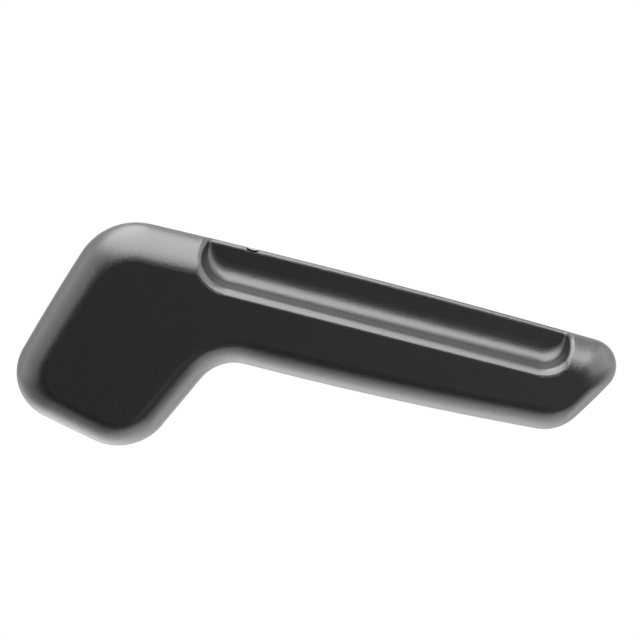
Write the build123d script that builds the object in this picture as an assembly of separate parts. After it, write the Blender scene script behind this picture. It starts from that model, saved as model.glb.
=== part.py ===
from build123d import *
import math
import os

# Car seat release handle: a one-piece moulded lever that pushes onto a seat shaft
# and is locked there by a spring clip. Frame: origin on the shaft axis at the mouth
# of the socket, +X along the arm, +Z up, outer face towards -Y, seat towards +Y.
# All sizes are in millimetres.

# Depth of the moulding, measured along Y
REAR_Y = 1.0                # plane of the open rear edge
HUB_DEPTH = 24.7            # rear edge to outer face, on the shaft axis
FACE_TILT = 3.05            # degrees by which the outer face falls back towards the tip
ROUND_HEIGHT = 10.5         # height of the rounded front edge
SKIRT_REACH = 36.0          # depth behind the face where the straight sides are drawn
SIDE_DRAFT = 0.4            # the sides widen by this much over their reach
WALL = 2.6                  # wall under the face and at the foot of the sides
EDGE_WALL = 1.6             # wall of the sides where their reach ends

# Corners of the outline, clockwise from the top of the hub: x, z and radius where
# the rounding meets the side, then x, z and radius where it meets the face, then
# the fullness of the rounding, where 2 is an ellipse and less is flatter.
HUB_TOP = (-10.8, 37.0, 18.8, -5.0, 25.4, 11.0, 1.5)
TIP_TOP = (149.9, 36.7, 7.9, 137.8, 25.7, 3.0, 1.6)
TIP_BOTTOM = (132.8, 8.0, 13.3, 131.3, 14.7, 9.0, 1.9)
ARM_ROOT = (30.8, 4.7, 13.1, 26.6, 11.6, 22.0, 1.9)
HUB_RIGHT = (14.3, -29.9, 15.6, 10.6, -22.2, 9.5, 1.9)
HUB_LEFT = (-28.4, -21.1, 14.0, -17.9, -16.3, 8.0, 1.6)
CORNERS = (HUB_TOP, TIP_TOP, TIP_BOTTOM, ARM_ROOT, HUB_RIGHT, HUB_LEFT)
SIDE_BOWS = (1.2, 0.8, 1.1, 0.0, 0.4, 0.7)      # outward bow of the side after each corner
ROUND_STEPS = (0, 12, 25, 38, 50, 62, 73, 82, 90)   # degrees, side to face
INNER_STEPS = (0, 35, 65, 90)       # the same, on the inside

# Finger recess in the top of the arm, open upwards
RECESS_LEFT = 18.2          # left wall at the height of the face
RECESS_RIGHT = 130.6        # right wall
RECESS_BOTTOM = 24.2        # lower wall
RECESS_TOP = 60.0           # above the arm, so that the recess is open there
RECESS_DEPTH = 12.0
FLOOR_BLEND_HEIGHT = 4.6    # height of the hollow between floor and walls
FLOOR_BLENDS = (1.2, 6.0, 1.8)      # width of that hollow: left, lower, right
WALL_LEANS = (1.4, 2.0, 1.4)        # lean of each wall down to the hollow
LEFT_RADII = (10.0, 8.5, 6.0)       # lower left corner: at the face, hollow, floor
RIGHT_RADII = (8.0, 7.0, 4.5)       # lower right corner
LIP_WIDTH = 1.6             # flare of the walls at the face
LIP_DEPTH = 2.2
LIP_STEPS = (0.0, 0.3, 0.6, 1.0)
HOLLOW_STEPS = (0, 25, 50, 72, 90)
BACKING_STEPS = (0, 45, 90)
RIM_RADIUS = 1.4            # edge radius all round the recess

# Boss and its blind double-D socket, with a round lead-in at the mouth
BOSS_RADIUS = 10.0
BOSS_END_Y = -22.2
LEAD_RADIUS = 6.5
LEAD_DEPTH = 5.0
SOCKET_RADIUS = 6.1
SOCKET_FLATS = 9.2
SOCKET_DEPTH = 17.0

# Ribs inside the shell
RIB = 1.8
RIB_TOP_Y = REAR_Y - 2.5
GUSSET_ANGLES = (35, 145, 215, 270, 325)
GUSSET_REACH = 60.0
TRUSS_START = 34.0
TRUSS_PITCH = 13.0
TRUSS_NODES = 8
TRUSS_LOW = 5.5
TRUSS_HIGH = 23.8

# Stamped spring clip through the boss, round the shaft's groove
CLIP_Y = -9.0
CLIP_THICK = 1.2
CLIP_INNER = 4.9            # inside of each leg to the shaft axis
CLIP_OUTER = 7.1
CLIP_HUG_RADIUS = 5.2       # hollow in the legs that holds the shaft
CLIP_TIP_Z = -8.5
CLIP_BEND_Z = 7.5
CLIP_TIP_RADIUS = 0.9
CLIP_SLACK = 0.3
SLOT_REACH = 12.0

# Small nick in the top edge of the arm, behind the recess
NICK_X = 32.6
NICK_Y = -9.5
NICK_Z = 38.9
NICK_RADIUS = 1.6
NICK_LENGTH = 14.0
NICK_LEAN = 18.0            # degrees, deeper at the front


def mix(start, end, share):
    return start + (end - start) * share


def face_plane(depth):
    """Plane parallel to the outer face, this far behind it along Y."""
    tilt = math.radians(FACE_TILT)
    return Plane(
        origin=(0, REAR_Y - HUB_DEPTH + depth, 0),
        x_dir=(math.cos(tilt), math.sin(tilt), 0),
        z_dir=(math.sin(tilt), -math.cos(tilt), 0),
    )


def bowed_outline(corners, bows, radii):
    """Flat outline with bowed sides and rounded corners, listed clockwise."""
    edges = []
    for index, corner in enumerate(corners):
        start = Vector(corner)
        end = Vector(corners[(index + 1) % len(corners)])
        if bows[index] == 0:
            edges.append(Line(start, end))
            continue
        along = (end - start).normalized()
        outward = Vector(-along.Y, along.X)
        edges.append(ThreePointArc(start, (start + end) / 2 + outward * bows[index], end))
    outline = make_face(edges)
    for corner, radius in zip(corners, radii):
        if radius == 0:
            continue
        nearest = outline.vertices().sort_by_distance(Vector(corner))[0]
        outline = fillet(nearest, radius)
    return outline


def pulled_in(corners, radii, inset):
    """Corners and radii of a clockwise outline with every side moved inwards."""
    moved = []
    changed = []
    for index, (corner, radius) in enumerate(zip(corners, radii)):
        before = (corner - corners[index - 1]).normalized()
        after = (corners[(index + 1) % len(corners)] - corner).normalized()
        inward = Vector(before.Y + after.Y, -before.X - after.X)
        moved.append(corner + inward * (inset / (1 + before.dot(after))))
        hollow = before.cross(after).Z > 0
        changed.append(radius + inset if hollow else radius - inset)
    return moved, changed


def handle_outline(height, inset=0.0):
    """Outline at a height of the rounding, from 0 at the side to 1 at the face."""
    points = []
    radii = []
    for side_x, side_z, side_radius, face_x, face_z, face_radius, fullness in CORNERS:
        share = 1 - (1 - height ** fullness) ** (1 / fullness)
        points.append(Vector(mix(side_x, face_x, share), mix(side_z, face_z, share)))
        radii.append(mix(side_radius, face_radius, share))
    points, radii = pulled_in(points, radii, inset)
    return bowed_outline(points, SIDE_BOWS, radii)


def rounded_block(wall, end_inset, steps, ruled=False):
    """The handle's outer form, or its inner form one wall further in."""
    sections = []
    for angle in steps:
        height = math.sin(math.radians(angle))
        depth = mix(ROUND_HEIGHT, wall, height)
        sections.append(face_plane(depth) * handle_outline(height, wall * (1 - height)))
    side_end = face_plane(SKIRT_REACH) * handle_outline(0, end_inset)
    return loft(sections, ruled=ruled) + loft([sections[0], side_end], ruled=True)


def recess_outline(depth, leans, radii, grow):
    left = RECESS_LEFT + leans[0] - grow
    right = RECESS_RIGHT - leans[2] + grow
    bottom = RECESS_BOTTOM + leans[1] - grow
    corners = ((left, RECESS_TOP), (right, RECESS_TOP), (right, bottom), (left, bottom))
    outline = bowed_outline(corners, (0, 0, 0, 0), (0, 0, radii[1] + grow, radii[0] + grow))
    return face_plane(depth) * outline


def wall_outline(depth, flare=0.0, grow=0.0):
    """Recess outline on its straight walls, which lean out towards the face."""
    share = depth / (RECESS_DEPTH - FLOOR_BLEND_HEIGHT)
    leans = [lean * share - flare for lean in WALL_LEANS]
    radii = [mix(corner[0], corner[1], share) + flare for corner in (LEFT_RADII, RIGHT_RADII)]
    return recess_outline(depth, leans, radii, grow)


def hollow_outline(angle, grow=0.0):
    """Recess outline on the hollow between walls and floor."""
    share = 1 - math.cos(math.radians(angle))
    rise = math.sin(math.radians(angle))
    depth = RECESS_DEPTH - FLOOR_BLEND_HEIGHT + (FLOOR_BLEND_HEIGHT + grow) * rise
    leans = [lean + blend * share for lean, blend in zip(WALL_LEANS, FLOOR_BLENDS)]
    radii = [mix(corner[1], corner[2], share) for corner in (LEFT_RADII, RIGHT_RADII)]
    return recess_outline(depth, leans, radii, grow)


def recess():
    """The space of the finger recess, with a flared lip at the face."""
    lip = [wall_outline(LIP_DEPTH * step, LIP_WIDTH * (1 - step) ** 2) for step in LIP_STEPS]
    lip_slope = 2 * LIP_WIDTH / LIP_DEPTH
    outside = wall_outline(-LIP_DEPTH, LIP_WIDTH + lip_slope * LIP_DEPTH)
    space = loft([outside, lip[0]], ruled=True) + loft(lip)
    hollow = [hollow_outline(angle) for angle in HOLLOW_STEPS]
    return space + loft([lip[-1], hollow[0]], ruled=True) + loft(hollow)


def recess_backing():
    """The recess with one wall around it, which the inside of the shell goes round."""
    hollow = [hollow_outline(angle, WALL) for angle in BACKING_STEPS]
    return loft([wall_outline(-LIP_DEPTH, 0, WALL)] + hollow, ruled=True)


def block(low, high):
    """Box between two corners."""
    size = Vector(*high) - Vector(*low)
    return Pos(*low) * Box(size.X, size.Y, size.Z, align=(Align.MIN, Align.MIN, Align.MIN))


def rib(start, end, top_y=RIB_TOP_Y):
    """Upright rib between two points of the XZ plane, as deep as the shell."""
    run = Vector(end[0] - start[0], 0, end[1] - start[1])
    angle = math.degrees(math.atan2(run.Z, run.X))
    plate = block((0, BOSS_END_Y, -RIB / 2), (run.length, top_y, RIB / 2))
    return Pos(start[0], 0, start[1]) * Rot(0, -angle, 0) * plate


def ribs():
    plates = []
    for angle in GUSSET_ANGLES:
        turn = math.radians(angle)
        plates.append(rib((0, 0), (GUSSET_REACH * math.cos(turn), GUSSET_REACH * math.sin(turn))))
    for node in range(TRUSS_NODES):
        x = TRUSS_START + node * TRUSS_PITCH
        low, high = (TRUSS_LOW, TRUSS_HIGH) if node % 2 else (TRUSS_HIGH, TRUSS_LOW)
        if node < TRUSS_NODES - 1:
            plates.append(rib((x, low), (x + TRUSS_PITCH, high)))
        if node % 2 == 0:
            plates.append(rib((x, TRUSS_HIGH), (x, RECESS_TOP)))
    return plates


def along_y(radius, start_y, end_y):
    """Round solid on the shaft axis."""
    return Pos(0, (start_y + end_y) / 2, 0) * Rot(90, 0, 0) * Cylinder(radius, end_y - start_y)


def socket():
    """Space of the socket, its lead-in and the two slots for the clip."""
    drive = along_y(SOCKET_RADIUS, -SOCKET_DEPTH, 0)
    drive &= Box(4 * SOCKET_RADIUS, 4 * SOCKET_DEPTH, SOCKET_FLATS)
    space = drive + along_y(LEAD_RADIUS, -LEAD_DEPTH, REAR_Y)
    inner = CLIP_INNER - CLIP_SLACK
    front = CLIP_Y - CLIP_THICK / 2 - CLIP_SLACK
    rear = CLIP_Y + CLIP_THICK / 2
    space += block((inner, front, -SLOT_REACH), (CLIP_OUTER, rear, SLOT_REACH))
    space += block((-CLIP_OUTER, front, -SLOT_REACH), (-inner, rear, SLOT_REACH))
    return space


def nick():
    """Round bite out of the top edge, deeper at the front."""
    bite = Rot(90 + NICK_LEAN, 0, 0) * Cylinder(NICK_RADIUS, NICK_LENGTH)
    return Pos(NICK_X, NICK_Y, NICK_Z) * bite


def lies_on(point, faces):
    return min(Vertex(*point).distance_to(face) for face in faces) < 1e-3


def rim_edges(body, outside, space):
    """Edges where the recess breaks through the outside."""
    edges = []
    for edge in body.edges():
        box = edge.bounding_box()
        if box.max.Y > REAR_Y - 1e-3 or box.min.Z < RECESS_BOTTOM - 2 * LIP_WIDTH:
            continue
        points = (edge @ 0.25, edge @ 0.5)
        if all(lies_on(point, faces) for point in points for faces in (outside.faces(), space.faces())):
            edges.append(edge)
    return edges


def handle_body():
    behind = block((-200, REAR_Y, -200), (300, 100, 200))
    outside = rounded_block(0, -SIDE_DRAFT, ROUND_STEPS) - behind
    space = recess()
    body = outside - space
    body = fillet(rim_edges(body, outside, space), RIM_RADIUS)
    inside = rounded_block(WALL, EDGE_WALL, INNER_STEPS, ruled=True) - recess_backing()
    filling = [plate & inside for plate in ribs()]
    body -= inside
    for plate in filling:
        body += plate
    body += along_y(BOSS_RADIUS, BOSS_END_Y, 0)
    return body - socket() - nick()


def retaining_clip():
    """Flat U of spring steel whose legs are hollowed to hold the shaft."""
    fork = Pos(0, CLIP_BEND_Z) * Circle(CLIP_OUTER) - Pos(0, CLIP_BEND_Z) * Circle(CLIP_INNER)
    fork -= Pos(0, CLIP_BEND_Z - CLIP_OUTER) * Rectangle(4 * CLIP_OUTER, 2 * CLIP_OUTER)
    width = CLIP_OUTER - CLIP_INNER
    length = CLIP_BEND_Z - CLIP_TIP_Z
    for side in (-1, 1):
        leg = Pos(side * (CLIP_INNER + width / 2), CLIP_TIP_Z + length / 2) * Rectangle(width, length)
        fork += fillet(leg.vertices().group_by(Axis.Y)[0], CLIP_TIP_RADIUS)
    fork -= Circle(CLIP_HUG_RADIUS)
    middle = Plane(origin=(0, CLIP_Y, 0), x_dir=(1, 0, 0), z_dir=(0, -1, 0))
    return extrude(middle * fork, CLIP_THICK / 2, both=True)


os.makedirs("parts", exist_ok=True)
export_step(handle_body(), "parts/handle_body.step")
export_step(retaining_clip(), "parts/retaining_clip.step")
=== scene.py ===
import math

import bpy
from mathutils import Matrix, Vector


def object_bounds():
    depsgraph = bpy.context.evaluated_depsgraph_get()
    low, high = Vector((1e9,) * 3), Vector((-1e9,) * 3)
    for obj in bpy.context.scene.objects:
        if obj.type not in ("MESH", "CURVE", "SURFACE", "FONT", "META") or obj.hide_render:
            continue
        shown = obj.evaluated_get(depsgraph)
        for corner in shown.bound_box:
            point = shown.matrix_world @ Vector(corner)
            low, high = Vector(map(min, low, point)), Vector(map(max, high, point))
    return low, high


# Lengths are in metres
MM = 0.001

# The photograph's view: 640 pixels square, the arm drooping to the right
IMAGE_SIZE = 640
PIXELS_PER_MM = 3.417
ORIGIN_PIXEL = (112, 346)   # where the shaft axis is seen
ARM_DROOP = math.radians(14.4)
CAMERA_DISTANCE = 1.2
SIGHT_PLANE_Y = -8 * MM     # depth at which the scale above holds
SENSOR = 36.0               # millimetres

# Black plastic: colours of the grain's low and high places, linear
PLASTIC_LOW = (0.0078, 0.0078, 0.0082, 1)
PLASTIC_HIGH = (0.0115, 0.0115, 0.0121, 1)
PLASTIC_SPREAD = (0.35, 0.65)
PLASTIC_SPECULAR = 0.85
PLASTIC_ROUGHNESS = (0.30, 0.42)
GRAIN_SCALE = 2200.0
GRAIN_DETAIL = 3.0
GRAIN_DEPTH = 0.1 * MM
GRAIN_STRENGTH = 0.5

# Nick in the top edge of the arm, with a painted highlight in the bite above a painted shadow
# along the arc of its lower edge
NICK_CENTRE = (32.8 * MM, -9.0 * MM, 41.2 * MM)     # centre of that arc
NICK_RADIUS = 3.85 * MM
NICK_SHADOW_WIDTH = 0.55 * MM       # width of the painted shadow along the lower edge
NICK_HALF_WIDTH = 1.8 * MM
NICK_HALF_DEPTH = 1.6 * MM
NICK_BLUR = 0.15 * MM
# The nick's pale patch is a painted highlight, and the line under it is a painted shadow
NICK_HIGHLIGHT_COLOUR = (0.16, 0.16, 0.156, 1)
NICK_SHADOW_COLOUR = (0.002, 0.002, 0.002, 1)

# Spring steel of the clip
STEEL_LOW = (0.33, 0.33, 0.34, 1)
STEEL_HIGH = (0.58, 0.58, 0.60, 1)
STEEL_SPREAD = (0.0, 1.0)
STEEL_ROUGHNESS = (0.22, 0.42)
MARK_SCALE = 900.0
MARK_DETAIL = 4.0

# Surroundings
FLOOR_Z = -0.50
FLOOR_FRONT_Y = -0.28
FLOOR_SIZE = 3.0
FLOOR_COLOUR = (0.85, 0.85, 0.85, 1)
FLOOR_WHITE = 0.9           # share seen as pure white, the rest takes the shadow
ROOM_LIGHT = 0.035
WHITE = (1, 1, 1, 1)
WHITE_FROM = 0.05           # Y of a mirrored ray's direction where white begins
WHITE_FULL = 0.25           # and where all of it is white

# Soft lamps: name, place from the object's middle, width and height, power in watts
LAMP_COLOUR = (0.985, 0.98, 1.0)
LAMPS = (
    ("overhead", (-0.21, -0.15, 0.7), (1.15, 0.8), 19),
    ("overhead_right", (0.58, -0.15, 0.62), (1.0, 0.8), 7),
    ("high_back", (0, 0.42, 0.38), (1.4, 0.4), 0.35),
    ("low_back", (0.05, 0.35, -0.31), (1.4, 0.34), 1.55),
    ("under", (0.1, 0.12, -0.45), (1.2, 0.46), 2.45),
    ("left", (-0.8, -0.08, 0.06), (1.0, 0.85), 4.5),
    ("right", (0.85, -0.05, 0.1), (0.9, 0.7), 1.2),
    ("right_back", (0.62, 0.40, -0.05), (0.4, 0.8), 0.7),
    ("front_right", (0.55, -1.2, -0.1), (0.4, 0.9), 0.78),
    ("front_low", (0.2, -0.75, -0.75), (1.8, 0.7), 0.35),
)


def node_setup(holder):
    """Empty node tree of a material or a world."""
    holder.use_nodes = True
    holder.node_tree.nodes.clear()
    return holder.node_tree.nodes, holder.node_tree.links


def ramp(nodes, links, value, start, end, level=(0.0, 1.0)):
    """Value spread between two levels, held flat beyond start and end."""
    spread = nodes.new("ShaderNodeMapRange")
    spread.inputs["From Min"].default_value = start
    spread.inputs["From Max"].default_value = end
    spread.inputs["To Min"].default_value = level[0]
    spread.inputs["To Max"].default_value = level[1]
    links.new(value, spread.inputs["Value"])
    return spread.outputs["Result"]


def combined(nodes, links, operation, first, second):
    """Two values multiplied, or the larger of the two."""
    node = nodes.new("ShaderNodeMath")
    node.operation = operation
    links.new(first, node.inputs[0])
    links.new(second, node.inputs[1])
    return node.outputs["Value"]


def vector_step(nodes, links, operation, vector, other=None):
    """One step of vector arithmetic, with a fixed second vector where it has one."""
    node = nodes.new("ShaderNodeVectorMath")
    node.operation = operation
    links.new(vector, node.inputs[0])
    if other is not None:
        node.inputs[1].default_value = other
    return node.outputs["Value" if operation == "LENGTH" else "Vector"]


def noise(nodes, links, place, scale, detail):
    texture = nodes.new("ShaderNodeTexNoise")
    texture.inputs["Scale"].default_value = scale
    texture.inputs["Detail"].default_value = detail
    links.new(place, texture.inputs["Vector"])
    return texture.outputs["Fac"]


def two_tone(nodes, links, value, spread, low_colour, high_colour):
    tones = nodes.new("ShaderNodeValToRGB")
    low, high = tones.color_ramp.elements
    low.position, high.position = spread
    low.color = low_colour
    high.color = high_colour
    links.new(value, tones.inputs["Fac"])
    return tones.outputs["Color"]


def painted_over(nodes, links, share, under, colour):
    """A fixed colour laid over another, where share says so."""
    blend = nodes.new("ShaderNodeMix")
    blend.data_type = "RGBA"
    links.new(share, blend.inputs["Factor"])
    links.new(under, blend.inputs["A"])
    blend.inputs["B"].default_value = colour
    return blend.outputs["Result"]


def surface(name):
    """New material with one shader, and the place on the object for its textures."""
    material = bpy.data.materials.new(name)
    nodes, links = node_setup(material)
    output = nodes.new("ShaderNodeOutputMaterial")
    shader = nodes.new("ShaderNodeBsdfPrincipled")
    links.new(shader.outputs["BSDF"], output.inputs["Surface"])
    place = nodes.new("ShaderNodeTexCoord").outputs["Object"]
    return material, nodes, links, shader, place


def nick_light_masks(nodes, links, place):
    """Where the nick in the top edge gets its painted highlight, and the painted shadow under
    it.
    """
    offset = vector_step(nodes, links, "SUBTRACT", place, NICK_CENTRE)
    upright = vector_step(nodes, links, "MULTIPLY", offset, (1, 0, 1))
    away = vector_step(nodes, links, "LENGTH", upright)
    part = nodes.new("ShaderNodeSeparateXYZ")
    links.new(vector_step(nodes, links, "ABSOLUTE", offset), part.inputs["Vector"])

    across = ramp(nodes, links, part.outputs["X"], NICK_HALF_WIDTH, NICK_HALF_WIDTH - NICK_BLUR)
    deep = ramp(nodes, links, part.outputs["Y"], NICK_HALF_DEPTH, NICK_HALF_DEPTH - NICK_BLUR)
    within = combined(nodes, links, "MULTIPLY", across, deep)
    outer_edge = NICK_RADIUS + NICK_SHADOW_WIDTH
    above = ramp(nodes, links, away, NICK_RADIUS, NICK_RADIUS - NICK_BLUR)
    below = ramp(nodes, links, away, NICK_RADIUS - NICK_BLUR, NICK_RADIUS)
    ends = ramp(nodes, links, away, outer_edge, outer_edge - NICK_BLUR)
    line = combined(nodes, links, "MULTIPLY", below, ends)
    pale = combined(nodes, links, "MULTIPLY", within, above)
    painted_shadow = combined(nodes, links, "MULTIPLY", within, line)
    return pale, painted_shadow


def black_plastic():
    """Fine-grained moulded plastic, black with a satin sheen."""
    material, nodes, links, shader, place = surface("black_plastic")
    grain = noise(nodes, links, place, GRAIN_SCALE, GRAIN_DETAIL)
    bump = nodes.new("ShaderNodeBump")
    bump.inputs["Strength"].default_value = GRAIN_STRENGTH
    bump.inputs["Distance"].default_value = GRAIN_DEPTH
    links.new(grain, bump.inputs["Height"])
    links.new(bump.outputs["Normal"], shader.inputs["Normal"])

    clean = two_tone(nodes, links, grain, PLASTIC_SPREAD, PLASTIC_LOW, PLASTIC_HIGH)
    # Painted light at the nick: a painted highlight in the bite and a painted shadow along its
    # lower edge
    pale, painted_shadow = nick_light_masks(nodes, links, place)
    highlighted = painted_over(nodes, links, pale, clean, NICK_HIGHLIGHT_COLOUR)
    shadowed = painted_over(nodes, links, painted_shadow, highlighted, NICK_SHADOW_COLOUR)
    links.new(shadowed, shader.inputs["Base Color"])
    shader.inputs["Specular IOR Level"].default_value = PLASTIC_SPECULAR

    # As rough black metal, the painted shadow along the nick's lower edge mirrors next to
    # nothing
    links.new(painted_shadow, shader.inputs["Metallic"])
    satin = ramp(nodes, links, grain, 0, 1, PLASTIC_ROUGHNESS)
    links.new(combined(nodes, links, "MAXIMUM", satin, painted_shadow), shader.inputs["Roughness"])
    return material


def spring_steel():
    """Stamped spring steel with faint marks on it."""
    material, nodes, links, shader, place = surface("spring_steel")
    shader.inputs["Metallic"].default_value = 1.0
    marks = noise(nodes, links, place, MARK_SCALE, MARK_DETAIL)
    colour = two_tone(nodes, links, marks, STEEL_SPREAD, STEEL_LOW, STEEL_HIGH)
    links.new(colour, shader.inputs["Base Color"])
    links.new(ramp(nodes, links, marks, 0, 1, STEEL_ROUGHNESS), shader.inputs["Roughness"])
    return material


def seen_rays(nodes, links):
    """1 for mirrored and transmitted rays, and apart from them 1 for the camera's rays."""
    path = nodes.new("ShaderNodeLightPath")
    glossy = path.outputs["Is Glossy Ray"]
    passed = path.outputs["Is Transmission Ray"]
    return combined(nodes, links, "MAXIMUM", glossy, passed), path.outputs["Is Camera Ray"]


def blended_output(nodes, links, kind, share, first, second):
    """Output that turns from the first shader to the second as share rises."""
    blend = nodes.new("ShaderNodeMixShader")
    links.new(share, blend.inputs["Fac"])
    links.new(first, blend.inputs[1])
    links.new(second, blend.inputs[2])
    output = nodes.new(kind)
    links.new(blend.outputs["Shader"], output.inputs["Surface"])


def pale_floor():
    """Matt pale floor that the camera and reflections see nearly as pure white."""
    material = bpy.data.materials.new("pale_floor")
    nodes, links = node_setup(material)
    matt = nodes.new("ShaderNodeBsdfDiffuse")
    matt.inputs["Color"].default_value = FLOOR_COLOUR
    glow = nodes.new("ShaderNodeEmission")
    glow.inputs["Color"].default_value = WHITE
    glow.inputs["Strength"].default_value = 1.0
    mirrored, camera_ray = seen_rays(nodes, links)
    seen = combined(nodes, links, "MAXIMUM", mirrored, camera_ray)
    share = ramp(nodes, links, seen, 0, 1, (0, FLOOR_WHITE))
    shaders = (matt.outputs["BSDF"], glow.outputs["Emission"])
    blended_output(nodes, links, "ShaderNodeOutputMaterial", share, *shaders)
    return material


def background(nodes, strength):
    node = nodes.new("ShaderNodeBackground")
    node.inputs["Color"].default_value = WHITE
    node.inputs["Strength"].default_value = strength
    return node.outputs["Background"]


def room():
    """Dim room, white to the camera all round and white behind the object in reflections."""
    world = bpy.data.worlds.new("room")
    nodes, links = node_setup(world)
    towards = nodes.new("ShaderNodeSeparateXYZ")
    links.new(nodes.new("ShaderNodeTexCoord").outputs["Generated"], towards.inputs["Vector"])
    behind = ramp(nodes, links, towards.outputs["Y"], WHITE_FROM, WHITE_FULL)
    mirrored, camera_ray = seen_rays(nodes, links)
    white_behind = combined(nodes, links, "MULTIPLY", behind, mirrored)
    share = combined(nodes, links, "MAXIMUM", white_behind, camera_ray)
    shaders = (background(nodes, ROOM_LIGHT), background(nodes, 1.0))
    blended_output(nodes, links, "ShaderNodeOutputWorld", share, *shaders)
    return world


def floor():
    half = FLOOR_SIZE / 2
    corners = [
        (-half, FLOOR_FRONT_Y, FLOOR_Z),
        (half, FLOOR_FRONT_Y, FLOOR_Z),
        (half, half, FLOOR_Z),
        (-half, half, FLOOR_Z),
    ]
    mesh = bpy.data.meshes.new("floor")
    mesh.from_pydata(corners, [], [(0, 1, 2, 3)])
    mesh.materials.append(pale_floor())
    sheet = bpy.data.objects.new("floor", mesh)
    bpy.context.scene.collection.objects.link(sheet)


def area_light(name, place, target, size, power):
    lamp = bpy.data.lights.new(name, "AREA")
    lamp.shape = "RECTANGLE"
    lamp.size, lamp.size_y = size
    lamp.energy = power
    lamp.color = LAMP_COLOUR
    holder = bpy.data.objects.new(name, lamp)
    holder.location = place
    holder.rotation_euler = (target - place).to_track_quat("-Z", "Y").to_euler()
    bpy.context.scene.collection.objects.link(holder)


def lights(middle):
    for name, offset, size, power in LAMPS:
        area_light(name, middle + Vector(offset), middle, size, power)


def camera():
    """Square on to the rear edge, rolled so that the arm droops as in the photograph."""
    right = Vector((math.cos(ARM_DROOP), 0, math.sin(ARM_DROOP)))
    up = Vector((-math.sin(ARM_DROOP), 0, math.cos(ARM_DROOP)))
    back = Vector((0, -1, 0))
    across = (IMAGE_SIZE / 2 - ORIGIN_PIXEL[0]) / PIXELS_PER_MM * MM
    above = (ORIGIN_PIXEL[1] - IMAGE_SIZE / 2) / PIXELS_PER_MM * MM
    aim = right * across + up * above + Vector((0, SIGHT_PLANE_Y, 0))
    place = aim + back * CAMERA_DISTANCE

    lens = bpy.data.cameras.new("camera")
    lens.sensor_fit = "HORIZONTAL"
    lens.sensor_width = SENSOR
    lens.lens = SENSOR * CAMERA_DISTANCE / (IMAGE_SIZE / PIXELS_PER_MM * MM)
    holder = bpy.data.objects.new("camera", lens)
    bpy.context.scene.collection.objects.link(holder)
    holder.matrix_world = Matrix(
        (
            (right.x, up.x, back.x, place.x),
            (right.y, up.y, back.y, place.y),
            (right.z, up.z, back.z, place.z),
            (0, 0, 0, 1),
        )
    )
    bpy.context.scene.camera = holder


def dress(node, material):
    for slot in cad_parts[node].material_slots:
        slot.material = material


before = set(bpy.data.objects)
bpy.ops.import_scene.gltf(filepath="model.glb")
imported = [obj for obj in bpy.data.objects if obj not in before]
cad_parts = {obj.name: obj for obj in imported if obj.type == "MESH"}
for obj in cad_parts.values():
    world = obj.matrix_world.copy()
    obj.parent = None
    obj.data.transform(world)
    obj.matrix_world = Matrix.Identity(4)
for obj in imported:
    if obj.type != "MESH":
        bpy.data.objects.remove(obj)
cad_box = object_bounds()
dress("handle_body", black_plastic())
dress("retaining_clip", spring_steel())
floor()
bpy.context.scene.world = room()
lights((Vector(cad_box[0]) + Vector(cad_box[1])) / 2)
camera()
bpy.context.scene.view_settings.view_transform = "Standard"
